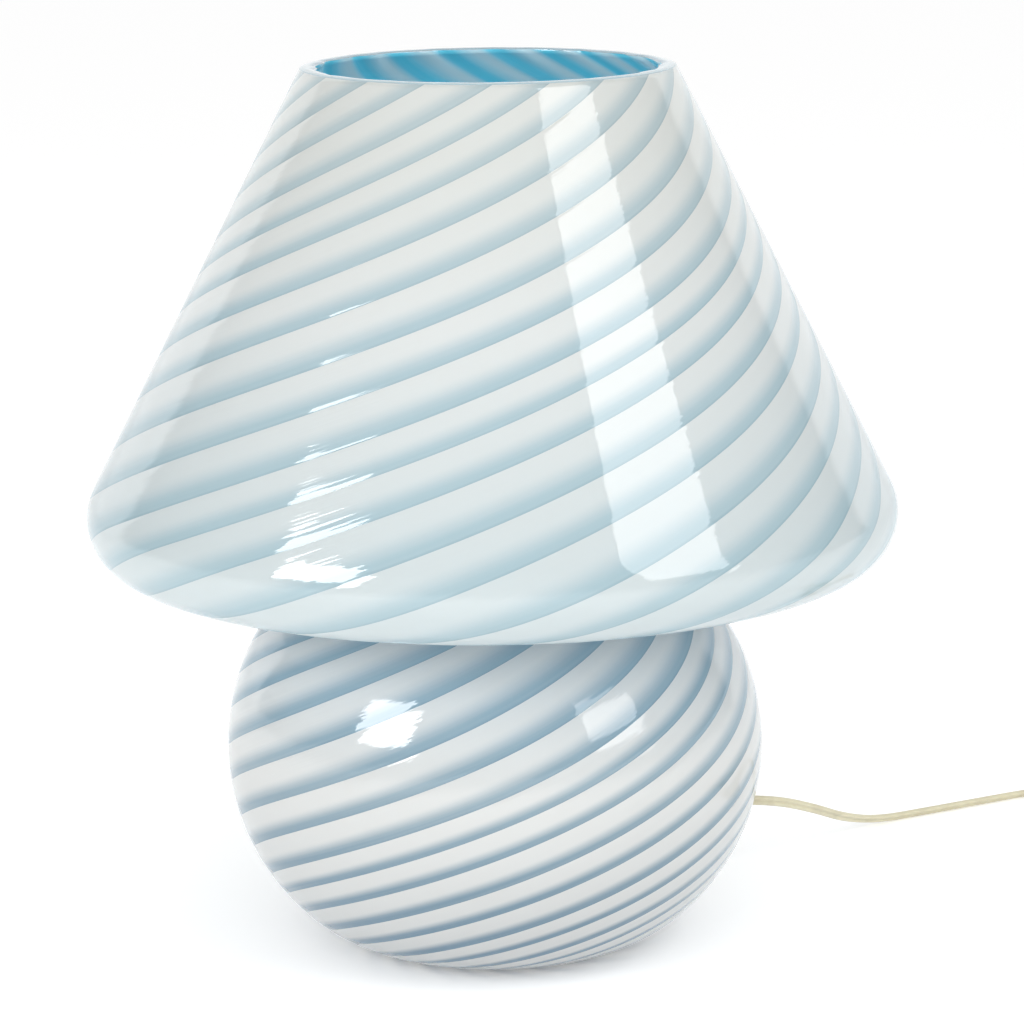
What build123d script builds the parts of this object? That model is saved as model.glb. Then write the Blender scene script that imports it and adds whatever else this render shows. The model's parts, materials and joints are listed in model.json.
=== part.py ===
from build123d import *
from math import acos, asin, atan, atan2, ceil, cos, degrees, hypot, pi, radians, sin, sqrt, tan
import os

os.makedirs("parts", exist_ok=True)

# Mushroom table lamp: base, neck and shade are one piece of blown glass, open at the top.
# Millimetres. The origin is the middle of the foot, +Z is up and the front faces -Y.

# ---- Glass: the outside, from the middle of the foot to the lip ----
glass_wall = 3.2
kick_radius = 50.0
kick_height = 4.0
foot_land = 8.5
heel_round = 20.0
heel_turn = 11.0
low_belly_round = 74.1
low_belly_turn = 32.5
belly_round = 110.9
belly_turn = 71.1
shoulder_round = 100.0
shoulder_turn = 45.4
neck_radius = 41.2
neck_foot_round = 16.0
neck_length = 4.1
neck_top_round = 12.0
shade_radius = 200.0
rim_round = 25.5
rim_bottom_height = 193.3
lip_radius = 91.0
lip_height = 436.8
round_error = 0.6  # how far the flats of a faceted round may lie inside the true round
longest_flat_turn = 30.0

# ---- Cord and the hole it leaves by ----
cord_width = 5.2
cord_sides = 8
cord_hole_height = 46.0
cord_hole_azimuth = 34.8
cord_hole_dip = 10.0
cord_hole_radius = 5.0
grommet_sleeve_clearance = 0.25
grommet_seat_gap = 0.2
grommet_flange_radius = 8.0
grommet_flange = 2.4
cord_bore_clearance = 0.2
cord_below_tube = 6.0  # how far the inner cord runs straight on below the threaded tube
cord_bend_inside = 28.0  # how far before the hole, along it, the inner cord's last corner is
cord_bend_outside = 20.0
cord_straight_end = 8.0  # the straight stretch before the plug and after the coil
longest_arc_share = 0.45  # of a straight run, taken by the arc at each of its ends

# ---- Fitting in the neck ----
gasket_width = 9.0
gasket_thickness = 2.0
seat_gap = 0.1
plate_radius = 62.0
plate_thickness = 1.2
plate_lip_height = 3.0
tube_radius = 5.0
tube_bore_radius = 3.5
tube_hole_clearance = 0.2
tube_below_hub = 11.0
washer_radius = 8.5
washer_thickness = 1.0
nut_across_flats = 14.0
nut_height = 4.0
hub_radius = 17.0
hub_thickness = 1.5
hub_drop = 11.0
arm_count = 3
arm_width = 12.0
arm_thickness = 0.8
arm_washer_gap = 0.5
arm_bend_round = 5.0
arm_slope = 60.0
arm_knee_round = 6.0
arm_knee_angle = 30.0
arm_knee_gap = 0.3
arm_tip_turn = 70.0
arm_tip_length = 6.0
rivet_radius = 1.5
rivet_head_radius = 2.6
rivet_head_height = 0.9
rivet_hole_clearance = 0.1
rivet_place_radius = 13.0

# ---- Lampholder, E27 ----
holder_boss_radius = 8.5
holder_boss_height = 9.0
holder_radius = 20.0
holder_wall = 1.8
holder_cap_height = 24.0
holder_cap_chamfer = 2.0
holder_joint_gap = 0.1
skirt_height = 32.0
skirt_rim_height = 4.0
skirt_rim_radius = 21.5
skirt_bore_radius = 15.6
shell_bore_radius = 13.7
shell_thickness = 0.5
shell_height = 22.0
block_radius = 17.8
block_height = 9.0
block_rise = 14.0
block_slot_radius = 5.0
tube_into_cap = 9.0
contact_width = 5.0
contact_thickness = 0.6
contact_length = 15.0
contact_rise = 4.0
terminal_screw_radius = 2.0
terminal_screw_length = 5.0
terminal_screw_place = 11.5
grub_screw_radius = 1.5
grub_screw_length = 4.5

# ---- Bulb, A60 ----
bulb_length = 104.0
bulb_radius = 30.0
bulb_cap_radius = 13.1
bulb_cap_height = 20.0
bulb_neck_radius = 12.4
bulb_neck_round = 38.0
bulb_insulator_height = 5.0
bulb_insulator_radius = 8.0
bulb_contact_radius = 4.6
bulb_contact_height = 1.5
bulb_seat_gap = 0.3

# ---- Hand switch on the cord ----
switch_centre_x = 376.0
switch_centre_y = 150.0
switch_length = 62.0
switch_end_width = 13.0
switch_middle_width = 27.0
switch_height = 15.0
switch_wall = 1.6
switch_edge_bevel = 2.0
switch_screw_radius = 1.6
switch_screw_place = 20.0
switch_screw_bite = 3.5
rocker_length = 22.0
rocker_width = 11.0
rocker_depth = 4.0
rocker_end_rise = 4.2
rocker_middle_rise = 2.8
rocker_swing = 14.0
rocker_gap = 0.5
rocker_axis_drop = 3.0
rocker_pin_radius = 1.2
rocker_pin_length = 1.5
rocker_pin_clearance = 0.15
rocker_lug_width = 6.0
rocker_lug_thickness = 2.0
switch_contact_width = 4.0
switch_contact_thickness = 0.8
switch_contact_length = 16.0

# ---- Coil of the spare cord ----
coil_start_y = 76.0
coil_start_x = 372.0
coil_inner_radius = 20.8
coil_pitch = 6.05
coil_turns_in = 6
coil_turns_out = 7

# ---- Plug ----
plug_shift = 2.0  # where the cord enters the plug, to the right of the coil's end
plug_reach = 28.0  # and in front of it
plug_axis_height = 6.85
plug_width = 35.3
plug_flat_width = 26.1
plug_rear_width = 12.0
plug_depth = 34.0
plug_flare_length = 16.0
plug_face_bevel = 0.8
grip_count = 4
grip_pitch = 2.8
grip_width = 1.2
grip_depth = 0.6
grip_length = 21.0
grip_start = 15.0  # from the plug's face to the nearest grip groove
plug_relief_length = 16.0
plug_relief_rear_radius = 3.4
plug_relief_front_radius = 4.6
pin_radius = 2.0
pin_length = 19.0
pin_spacing = 19.0
pin_tip_chamfer = 1.0
pin_root = 6.0
pin_root_radius = 1.5


def finish(part, name):
    """Label a finished piece and write it."""
    part.label = name
    export_step(part, f"parts/{name}.step")


def stops(start, heading, steps, shift=0.0):
    """Where a walk of lines and tangent arcs stops, and its heading at each stop.

    A step is (length, 0) for a line or (radius, turn) for an arc, with the turn in
    degrees and positive to the left. Shift moves the whole walk to its left, and the
    radii stay those of the walk that isn't shifted.
    """
    turned = radians(heading)
    x = start[0] - shift * sin(turned)
    y = start[1] + shift * cos(turned)
    found = [((x, y), degrees(turned))]
    for size, turn in steps:
        if turn == 0:
            x, y = x + size * cos(turned), y + size * sin(turned)
        else:
            side = 1 if turn > 0 else -1
            radius = size - side * shift
            centre = (x - side * radius * sin(turned), y + side * radius * cos(turned))
            turned += radians(turn)
            x = centre[0] + side * radius * sin(turned)
            y = centre[1] - side * radius * cos(turned)
        found.append(((x, y), degrees(turned)))
    return found


def walk(start, heading, steps, shift=0.0):
    """Lay a walk's lines and arcs in the sketch, and give its last stop."""
    found = stops(start, heading, steps, shift)
    for (size, turn), (point, way), (end, _) in zip(steps, found, found[1:]):
        if turn == 0:
            Line(point, end)
        else:
            radius = size - shift if turn > 0 else size + shift
            JernArc(point, (cos(radians(way)), sin(radians(way))), radius, turn)
    return found[-1][0]


def faceted(steps):
    """Share each arc of a walk into equal arcs short enough to be laid as flats."""
    shared = []
    for size, turn in steps:
        flat = 2 * degrees(acos(1 - round_error / max(size, 2 * round_error)))
        count = 1 if turn == 0 else ceil(abs(turn) / min(flat, longest_flat_turn))
        shared += [(size, turn / count)] * count
    return shared


# ---- Glass body ----
kick_turn = 2 * degrees(atan(kick_height / kick_radius))
kick_round = kick_radius / sin(radians(kick_turn)) / 2
lower_steps = [
    (kick_round, -kick_turn),
    (kick_round, kick_turn),
    (foot_land, 0),
    (heel_round, heel_turn),
    (low_belly_round, low_belly_turn),
]

shoulder_steps = lower_steps + [(belly_round, belly_turn), (shoulder_round, shoulder_turn)]
(shoulder_r, shoulder_z), shoulder_heading = stops((0, kick_height), 0, shoulder_steps)[-1]
neck_foot_turn = shoulder_heading - 90
shoulder_line = (
    shoulder_r - neck_foot_round * (1 - cos(radians(neck_foot_turn))) - neck_radius
) / sin(radians(neck_foot_turn))
waist_z = (
    shoulder_z
    + shoulder_line * cos(radians(neck_foot_turn))
    + neck_foot_round * sin(radians(neck_foot_turn))
)

# The underside is the straight line that touches the neck's upper round from above and
# the rim's round from below.
rim_centre_r = shade_radius - rim_round
rim_centre_z = rim_bottom_height + rim_round
crest_r = neck_radius + neck_top_round
neck_top_z = waist_z + neck_length
crest_z = neck_top_z + neck_top_round + glass_wall
underside_reach = hypot(rim_centre_r - crest_r, rim_centre_z - neck_top_z)
underside_slope = degrees(
    asin((neck_top_round + rim_round) / underside_reach)
    - atan2(rim_centre_z - neck_top_z, rim_centre_r - crest_r)
)
underside_length = sqrt(underside_reach**2 - (neck_top_round + rim_round) ** 2)

# The cone runs from the rim's round straight to the lip.
lip_reach = hypot(rim_centre_r - lip_radius, lip_height - rim_centre_z)
cone_lean = degrees(
    atan2(rim_centre_r - lip_radius, lip_height - rim_centre_z) + asin(rim_round / lip_reach)
)
cone_length = sqrt(lip_reach**2 - rim_round**2)

# The glass is one blown piece. Its base and its shade are two nodes that meet at the
# narrowest place of the neck.
parting_z = waist_z + neck_length / 2
base_steps = shoulder_steps + [
    (shoulder_line, 0),
    (neck_foot_round, -neck_foot_turn),
    (neck_length / 2, 0),
]
shade_steps = [
    (neck_length / 2, 0),
    (neck_top_round, -90 - underside_slope),
    (underside_length, 0),
    (rim_round, underside_slope + 90 + cone_lean),
    (cone_length, 0),
]
lip_step = (glass_wall / 2, 180)

# The cord hole's own plane lies on the belly's flat at its height and looks out along
# the hole.
base_outside = [point for point, _ in stops((0, kick_height), 0, faceted(base_steps))]
below, above = next(
    (a, b)
    for a, b in zip(base_outside, base_outside[1:])
    if a[1] <= cord_hole_height < b[1]
)
wall_dip = atan2(above[0] - below[0], above[1] - below[1])
hole_r = below[0] + (cord_hole_height - below[1]) * tan(wall_dip)
hole_turn = radians(cord_hole_azimuth)
dip = radians(cord_hole_dip)
hole_axis = Vector(cos(hole_turn) * cos(dip), sin(hole_turn) * cos(dip), -sin(dip))
hole_side = Vector(-sin(hole_turn), cos(hole_turn), 0)
hole_point = Vector(hole_r * cos(hole_turn), hole_r * sin(hole_turn), cord_hole_height)
hole_plane = Plane(origin=hole_point, x_dir=hole_side, z_dir=hole_axis)
hole_reach = 3 * glass_wall + grommet_flange + cord_hole_radius


def blown(outside, inside):
    """The glass between the points of its outside and of its inside, turned round."""
    with BuildPart() as wall:
        with BuildSketch(Plane.XZ):
            with BuildLine():
                Polyline(*outside, *reversed(inside), close=True)
            make_face()
        revolve(axis=Axis.Z)
    return wall.part


base_inside = [point for point, _ in stops((0, kick_height), 0, faceted(base_steps), glass_wall)]
whole_base = blown(base_outside, base_inside)
with BuildPart() as glass_base:
    add(whole_base)
    with BuildSketch(hole_plane):
        Circle(cord_hole_radius)
    extrude(amount=hole_reach, both=True, mode=Mode.SUBTRACT)
finish(glass_base.part, "glass_base")

# The shade's outside goes on over the lip to where the inside ends.
neck_point = (neck_radius, parting_z)
shade_outside = stops(neck_point, 90, faceted([*shade_steps, lip_step]))
shade_inside = stops(neck_point, 90, faceted(shade_steps), glass_wall)
glass_shade = blown(
    [point for point, _ in shade_outside], [point for point, _ in shade_inside[:-1]]
)
finish(glass_shade, "glass_shade")

# ---- Grommet: its flanges lie flat on the slanting wall on both sides ----
wall_normal = Vector(cos(hole_turn) * cos(wall_dip), sin(hole_turn) * cos(wall_dip), -sin(wall_dip))
wall_plane = Plane(origin=hole_point, x_dir=hole_side, z_dir=wall_normal)
flange_sag = hole_r - sqrt(hole_r**2 - grommet_flange_radius**2)
groove_outer = grommet_seat_gap
groove_inner = -glass_wall - flange_sag - grommet_seat_gap
bore_radius = cord_width / 2 + cord_bore_clearance

with BuildPart() as cord_grommet:
    with BuildSketch(hole_plane):
        Circle(grommet_flange_radius)
    extrude(amount=hole_reach, both=True)
    split(bisect_by=wall_plane.offset(groove_outer + grommet_flange), keep=Keep.BOTTOM)
    split(bisect_by=wall_plane.offset(groove_inner - grommet_flange), keep=Keep.TOP)
    # The groove leaves only the sleeve that goes through the hole.
    with BuildSketch(wall_plane.offset(groove_inner)):
        Circle(hole_reach)
    extrude(amount=groove_outer - groove_inner, mode=Mode.SUBTRACT)
    with BuildSketch(hole_plane.offset(groove_inner - grommet_flange / 2)):
        Circle(cord_hole_radius - grommet_sleeve_clearance)
    extrude(amount=groove_outer - groove_inner + grommet_flange)
    with BuildSketch(hole_plane):
        Circle(bore_radius)
    extrude(amount=hole_reach, both=True, mode=Mode.SUBTRACT)
finish(cord_grommet.part, "cord_grommet")

# ---- Gasket and plate over the neck's mouth ----
gasket_z = crest_z + seat_gap
plate_z = gasket_z + gasket_thickness

with BuildPart() as neck_gasket:
    with BuildSketch(Plane.XY.offset(gasket_z)):
        Circle(crest_r + gasket_width / 2)
        Circle(crest_r - gasket_width / 2, mode=Mode.SUBTRACT)
    extrude(amount=gasket_thickness)
finish(neck_gasket.part, "neck_gasket")

with BuildPart() as neck_plate:
    with BuildSketch(Plane.XY.offset(plate_z)):
        Circle(plate_radius)
        Circle(tube_radius + tube_hole_clearance, mode=Mode.SUBTRACT)
    extrude(amount=plate_thickness)
    with BuildSketch(Plane.XY.offset(plate_z + plate_thickness)):
        Circle(plate_radius)
        Circle(plate_radius - plate_thickness, mode=Mode.SUBTRACT)
    extrude(amount=plate_lip_height)
finish(neck_plate.part, "neck_plate")

# ---- Threaded tube with its nut and washers ----
plate_top = plate_z + plate_thickness
hub_bottom = plate_z - hub_drop - hub_thickness
lower_washer_z = hub_bottom - washer_thickness
lower_nut_z = lower_washer_z - nut_height
upper_washer_z = plate_top
holder_z = upper_washer_z + washer_thickness
tube_bottom = hub_bottom - tube_below_hub

with BuildPart() as threaded_tube:
    with BuildSketch(Plane.XY.offset(tube_bottom)):
        Circle(tube_radius)
        Circle(tube_bore_radius, mode=Mode.SUBTRACT)
    extrude(amount=holder_z + tube_into_cap - tube_bottom)
finish(threaded_tube.part, "threaded_tube")


def washer(base):
    """A flat washer round the threaded tube."""
    with BuildPart() as ring:
        with BuildSketch(Plane.XY.offset(base)):
            Circle(washer_radius)
            Circle(tube_radius + tube_hole_clearance, mode=Mode.SUBTRACT)
        extrude(amount=washer_thickness)
    return ring.part


finish(washer(lower_washer_z), "lower_washer")
finish(washer(upper_washer_z), "upper_washer")

with BuildPart() as lower_nut:
    with BuildSketch(Plane.XY.offset(lower_nut_z)):
        RegularPolygon(nut_across_flats / 2, 6, major_radius=False)
        Circle(tube_radius + tube_hole_clearance, mode=Mode.SUBTRACT)
    extrude(amount=nut_height)
finish(lower_nut.part, "lower_nut")

# ---- Spring spider: three arms that snap out under the waist of the neck ----
with BuildPart() as spider_hub:
    with BuildSketch(Plane.XY.offset(hub_bottom)):
        Circle(hub_radius)
        Circle(tube_radius + tube_hole_clearance, mode=Mode.SUBTRACT)
        with PolarLocations(rivet_place_radius, arm_count):
            Circle(rivet_radius + rivet_hole_clearance, mode=Mode.SUBTRACT)
    extrude(amount=hub_thickness)
finish(spider_hub.part, "spider_hub")

# The knee stands off the inside of the neck's lower round by the knee gap, and as the
# arm is flat across, the corners of its width reach the round glass first.
waist_centre_r = neck_radius + neck_foot_round
waist_inner_radius = neck_radius - glass_wall
arm_corner_set = waist_inner_radius - sqrt(waist_inner_radius**2 - (arm_width / 2) ** 2)
knee_reach = neck_foot_round + glass_wall + arm_knee_gap + arm_knee_round
knee_r = waist_centre_r - knee_reach * cos(radians(arm_knee_angle)) - arm_corner_set
arm_inner_radius = washer_radius + arm_washer_gap
knee_z = waist_z - knee_reach * sin(radians(arm_knee_angle))
knee_way_round = arm_knee_round - arm_thickness / 2
arm_z = hub_bottom - arm_thickness / 2
lean = radians(arm_slope)
knee_start_r = knee_r + knee_way_round * sin(lean)
knee_start_z = knee_z + knee_way_round * cos(lean)
arm_drop = arm_z - knee_start_z - arm_bend_round * (1 - cos(lean))
arm_fall_length = arm_drop / sin(lean)
arm_flat_end = knee_start_r - arm_fall_length * cos(lean) - arm_bend_round * sin(lean)
arm_steps = [
    (arm_flat_end - arm_inner_radius, 0),
    (arm_bend_round, -arm_slope),
    (arm_fall_length, 0),
    (knee_way_round, -arm_tip_turn),
    (arm_tip_length, 0),
]

with BuildPart() as spring_arms:
    with BuildSketch(Plane.XZ):
        with BuildLine():
            arm_start = (arm_inner_radius, arm_z)
            upper_end = walk(arm_start, 0, arm_steps, arm_thickness / 2)
            lower_end = walk(arm_start, 0, arm_steps, -arm_thickness / 2)
            Line(upper_end, lower_end)
            Line(
                (arm_inner_radius, arm_z + arm_thickness / 2),
                (arm_inner_radius, arm_z - arm_thickness / 2),
            )
        make_face()
    extrude(amount=arm_width / 2, both=True)
    with BuildSketch(Plane.XY.offset(hub_bottom)):
        with Locations((rivet_place_radius, 0)):
            Circle(rivet_radius + rivet_hole_clearance)
    extrude(amount=-2 * arm_thickness, mode=Mode.SUBTRACT)
    first_arm = spring_arms.part
    for count in range(1, arm_count):
        add(first_arm.rotate(Axis.Z, 360 / arm_count * count))
finish(spring_arms.part, "spring_arms")

with BuildPart() as arm_rivets:
    rivet_stack = arm_thickness + hub_thickness
    for place in PolarLocations(rivet_place_radius, arm_count):
        with BuildSketch(Plane(place).offset(hub_bottom - arm_thickness)):
            Circle(rivet_radius)
        extrude(amount=rivet_stack)
        with BuildSketch(Plane(place).offset(hub_bottom + hub_thickness)):
            Circle(rivet_head_radius)
        extrude(amount=rivet_head_height)
        with BuildSketch(Plane(place).offset(hub_bottom - arm_thickness)):
            Circle(rivet_head_radius)
        extrude(amount=-rivet_head_height)
finish(arm_rivets.part, "arm_rivets")

# ---- Lampholder ----
cap_top = holder_z + holder_cap_height
skirt_z = cap_top + holder_joint_gap
block_z = holder_z + block_rise
block_top = block_z + block_height

with BuildPart() as holder_cap:
    with BuildSketch(Plane.XZ):
        with BuildLine():
            Polyline(
                (tube_radius + tube_hole_clearance, holder_z),
                (holder_boss_radius, holder_z),
                (holder_boss_radius, holder_z + holder_boss_height - holder_wall),
                (holder_radius, holder_z + holder_boss_height + holder_wall),
                (holder_radius, cap_top),
                (holder_radius - holder_wall, cap_top),
                (holder_radius - holder_wall, block_z - seat_gap),
                (tube_radius + tube_hole_clearance, holder_z + holder_boss_height + holder_wall),
                close=True,
            )
        make_face()
    revolve(axis=Axis.Z)
    with BuildSketch(Plane.YZ.offset(-holder_boss_radius)):
        with Locations((0, holder_z + holder_boss_height / 2)):
            Circle(grub_screw_radius + tube_hole_clearance)
    extrude(amount=holder_boss_radius - tube_radius, mode=Mode.SUBTRACT)
    shoulder_edge = (
        holder_cap.edges()
        .filter_by(GeomType.CIRCLE)
        .filter_by(lambda edge: abs(edge.radius - holder_radius) < 0.01)
        .sort_by(Axis.Z)[0]
    )
    chamfer(shoulder_edge, holder_cap_chamfer)
finish(holder_cap.part, "holder_cap")

with BuildPart() as cap_grub_screw:
    with BuildSketch(Plane.YZ.offset(-tube_radius - seat_gap)):
        with Locations((0, holder_z + holder_boss_height / 2)):
            Circle(grub_screw_radius)
    extrude(amount=-grub_screw_length)
finish(cap_grub_screw.part, "cap_grub_screw")

with BuildPart() as terminal_block:
    with BuildSketch(Plane.XY.offset(block_z)):
        Circle(block_radius)
        with Locations((0, -block_slot_radius - contact_width)):
            Circle(block_slot_radius, mode=Mode.SUBTRACT)
        with GridLocations(2 * terminal_screw_place, 0, 2, 1):
            Circle(terminal_screw_radius + seat_gap, mode=Mode.SUBTRACT)
    extrude(amount=block_height)
finish(terminal_block.part, "terminal_block")

with BuildPart() as terminal_screws:
    for place in GridLocations(2 * terminal_screw_place, 0, 2, 1):
        with BuildSketch(Plane(place).offset(block_z)):
            Circle(terminal_screw_radius)
        extrude(amount=terminal_screw_length)
finish(terminal_screws.part, "terminal_screws")

shell_z = block_top + seat_gap
with BuildPart() as screw_shell:
    with BuildSketch(Plane.XY.offset(shell_z)):
        Circle(shell_bore_radius + shell_thickness)
        Circle(shell_bore_radius, mode=Mode.SUBTRACT)
    extrude(amount=shell_height)
finish(screw_shell.part, "screw_shell")

contact_top = block_top + contact_rise
with BuildPart() as centre_contact:
    with BuildSketch(Plane.XZ):
        with BuildLine():
            Polyline(
                (-contact_length / 2, block_top),
                (contact_length / 4, block_top),
                (contact_length / 2, contact_top),
                (-contact_width / 2, contact_top),
                (-contact_width / 2, contact_top - contact_thickness),
                (contact_length / 2 - 2 * contact_thickness, contact_top - contact_thickness),
                (contact_length / 4 - contact_thickness, block_top + contact_thickness),
                (-contact_length / 2, block_top + contact_thickness),
                close=True,
            )
        make_face()
    extrude(amount=contact_width / 2, both=True)
finish(centre_contact.part, "centre_contact")

with BuildPart() as holder_skirt:
    with BuildSketch(Plane.XZ):
        with BuildLine():
            Polyline(
                (skirt_bore_radius, skirt_z),
                (holder_radius, skirt_z),
                (holder_radius, skirt_z + skirt_height - skirt_rim_height),
                (skirt_rim_radius, skirt_z + skirt_height - skirt_rim_height),
                (skirt_rim_radius, skirt_z + skirt_height),
                (skirt_bore_radius, skirt_z + skirt_height),
                close=True,
            )
        make_face()
    revolve(axis=Axis.Z)
finish(holder_skirt.part, "holder_skirt")

# ---- Bulb ----
bulb_z = contact_top + bulb_seat_gap
bulb_insulator_z = bulb_z + bulb_contact_height
bulb_cap_z = bulb_insulator_z + bulb_insulator_height
bulb_glass_z = bulb_cap_z + bulb_cap_height
bulb_centre_z = bulb_z + bulb_length - bulb_radius

with BuildPart() as bulb_contact:
    with BuildSketch(Plane.XY.offset(bulb_z)):
        Circle(bulb_contact_radius)
    extrude(amount=bulb_contact_height)
    chamfer(bulb_contact.edges().group_by(Axis.Z)[0], bulb_contact_height / 2)
finish(bulb_contact.part, "bulb_contact")

with BuildPart() as bulb_insulator:
    with BuildSketch(Plane.XY.offset(bulb_insulator_z)):
        Circle(bulb_insulator_radius)
    with BuildSketch(Plane.XY.offset(bulb_cap_z)):
        Circle(bulb_cap_radius - holder_wall)
    loft()
finish(bulb_insulator.part, "bulb_insulator")

with BuildPart() as bulb_cap:
    with BuildSketch(Plane.XY.offset(bulb_cap_z)):
        Circle(bulb_cap_radius)
    extrude(amount=bulb_cap_height)
    chamfer(bulb_cap.edges().group_by(Axis.Z)[0], holder_wall / 2)
finish(bulb_cap.part, "bulb_cap")

# The glass: a ball drawn down through one hollow round to the cap.
neck_centre_r = bulb_neck_radius + bulb_neck_round
neck_reach = bulb_neck_round + bulb_radius
neck_centre_z = bulb_centre_z - sqrt(neck_reach**2 - neck_centre_r**2)
meet_turn = degrees(atan2(bulb_centre_z - neck_centre_z, neck_centre_r))
with BuildPart() as bulb_glass:
    with BuildSketch(Plane.XZ):
        with BuildLine():
            bulb_steps = [
                (neck_centre_z - bulb_glass_z, 0),
                (bulb_neck_round, -meet_turn),
                (bulb_radius, 90 + meet_turn),
            ]
            bulb_side = stops((bulb_neck_radius, bulb_glass_z), 90, faceted(bulb_steps))
            top = (0, bulb_centre_z + bulb_radius)
            Polyline(*[point for point, _ in bulb_side[:-1]], top, (0, bulb_glass_z), close=True)
        make_face()
    revolve(axis=Axis.Z)
finish(bulb_glass.part, "bulb_glass")

# ---- Cords ----
grommet_face = (groove_outer + grommet_flange) / cos(wall_dip - dip)
cord_exit = hole_point + hole_axis * grommet_face
cord_radius = cord_width / 2
switch_axis_z = switch_height / 2
switch_entry = Vector(switch_centre_x, switch_centre_y + switch_length / 2, switch_axis_z)
switch_outlet = Vector(switch_centre_x, switch_centre_y - switch_length / 2, switch_axis_z)


def cord_section():
    """The cord's section: flats all round, with one flat down."""
    RegularPolygon(cord_radius, cord_sides, major_radius=False, rotation=180 / cord_sides)


def tube(points, name):
    """A cord's tube along straight runs and the largest tangent arcs they allow."""
    spots = [Vector(*point) for point in points]
    runs = [(b - a).length for a, b in zip(spots, spots[1:])]
    radii = []
    for index in range(1, len(spots) - 1):
        turn = (spots[index] - spots[index - 1]).get_angle(spots[index + 1] - spots[index])
        radii.append(longest_arc_share * min(runs[index - 1], runs[index]) / tan(radians(turn) / 2))
    with BuildPart() as cord:
        with BuildLine():
            route = FilletPolyline(*spots, radius=radii)
        across = Vector(0, 0, 1).cross(route % 0)
        across = across if across.length > 0.01 else Vector(1, 0, 0)
        with BuildSketch(Plane(origin=route @ 0, x_dir=across, z_dir=route % 0)) as section:
            cord_section()
        sweep()
    length = sum(edge.length for edge in route.edges())
    print(name, "length", round(length, 1), "radii", [round(radius) for radius in radii])
    print(name, "volume by section", round(cord.part.volume / (section.sketch.area * length), 4))
    finish(cord.part, name)
    return length


lead_top = block_z - seat_gap


def in_hole_plane(reach, height):
    """A point of the upright plane through the cord hole."""
    return (reach * cos(hole_turn), reach * sin(hole_turn), height)


inner_length = tube(
    [
        (0, 0, lead_top),
        (0, 0, tube_bottom - cord_below_tube),
        in_hole_plane(4, 165),
        in_hole_plane(17, 115),
        in_hole_plane(45, 74),
        hole_point - hole_axis * cord_bend_inside,
        cord_exit,
    ],
    "inner_cord",
)
stretch_length = tube(
    [
        cord_exit,
        cord_exit + hole_axis * cord_bend_outside,
        (148, 101.5, 35.5),
        (171, 124, 24.5),
        (189, 153, 8.5),
        (210, 178, cord_radius),
        (240, 192, cord_radius),
        (272, 208.5, cord_radius),
        (300, 224, cord_radius),
        (328, 236, cord_radius),
        (355, 230, cord_radius),
        (373, 211, 4.5),
        (switch_centre_x, 194, switch_axis_z),
        switch_entry,
    ],
    "cord_stretch",
)
lead_length = tube(
    [
        switch_outlet,
        (switch_centre_x, 110, switch_axis_z),
        (coil_start_x, 90, cord_radius),
        (coil_start_x, coil_start_y, cord_radius),
    ],
    "cord_lead",
)

# The coil goes round clockwise: it spirals in on the floor and out again on top of that.
spiral_in = [coil_inner_radius + coil_pitch / 2 * count for count in range(coil_turns_in, 0, -1)]
spiral_out = [coil_inner_radius + coil_pitch / 2 * count for count in range(1, coil_turns_out + 1)]
samples_per_turn = 24


def half_turn(start, side, radius):
    """A level half turn, from the right side (1) down and round or from the left (-1)."""
    centre = start - Vector(side * radius, 0, 0)
    middle = centre + Vector(0, -side * radius, 0)
    return ThreePointArc(start, middle, centre - Vector(side * radius, 0, 0))


with BuildPart() as cord_coil:
    with BuildLine() as coil_line:
        here = Vector(coil_start_x, coil_start_y, cord_radius)
        here = Line(here, here - Vector(0, cord_width, 0)) @ 1
        side = 1
        for radius in spiral_in:
            here = half_turn(here, side, radius) @ 1
            side = -side
        # Two tilted quarter turns climb a layer and stay tangent to the level turns.
        climb_reach = sqrt(coil_inner_radius**2 + coil_pitch**2 / 4)
        top = here + Vector(-side * coil_inner_radius, -side * climb_reach, coil_pitch / 2)
        TangentArc(here, top, tangent=(0, -side, 0))
        here = here + Vector(-2 * side * coil_inner_radius, 0, coil_pitch)
        TangentArc(top, here, tangent=coil_line.edges()[-1] % 1)
        side = -side
        for radius in spiral_out:
            here = half_turn(here, side, radius) @ 1
            side = -side
        coil_end = Line(here, here - Vector(0, cord_width, 0)) @ 1
    coil_wire = coil_line.wires()[0]
    with BuildSketch(Plane(origin=coil_wire @ 0, x_dir=(1, 0, 0), z_dir=(0, -1, 0))):
        cord_section()
    sweep(path=coil_wire)
coil_length = coil_wire.length
corner_radius = cord_radius / cos(pi / cord_sides)
half_turns = coil_turns_in + 1 + coil_turns_out
marks = [coil_wire @ (count / (half_turns * samples_per_turn / 2)) for count in
         range(half_turns * samples_per_turn // 2 + 1)]
apart = samples_per_turn * 3 // 5
coil_gap = min(
    (marks[a] - marks[b]).length
    for a in range(len(marks))
    for b in range(a + apart, len(marks))
) - 2 * corner_radius
print("coil length", round(coil_length, 1), "least gap", round(coil_gap, 2))
finish(cord_coil.part, "cord_coil")

plug_entry = Vector(coil_end.X + plug_shift, coil_end.Y - plug_reach, plug_axis_height)
tail_length = tube(
    [
        coil_end,
        coil_end - Vector(0, cord_straight_end, 0),
        plug_entry + Vector(0, cord_straight_end, 0),
        plug_entry,
    ],
    "cord_tail",
)
free_length = stretch_length + switch_length + lead_length + coil_length + tail_length
print("cord outside the lamp", round(free_length), "and inside", round(inner_length))

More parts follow.
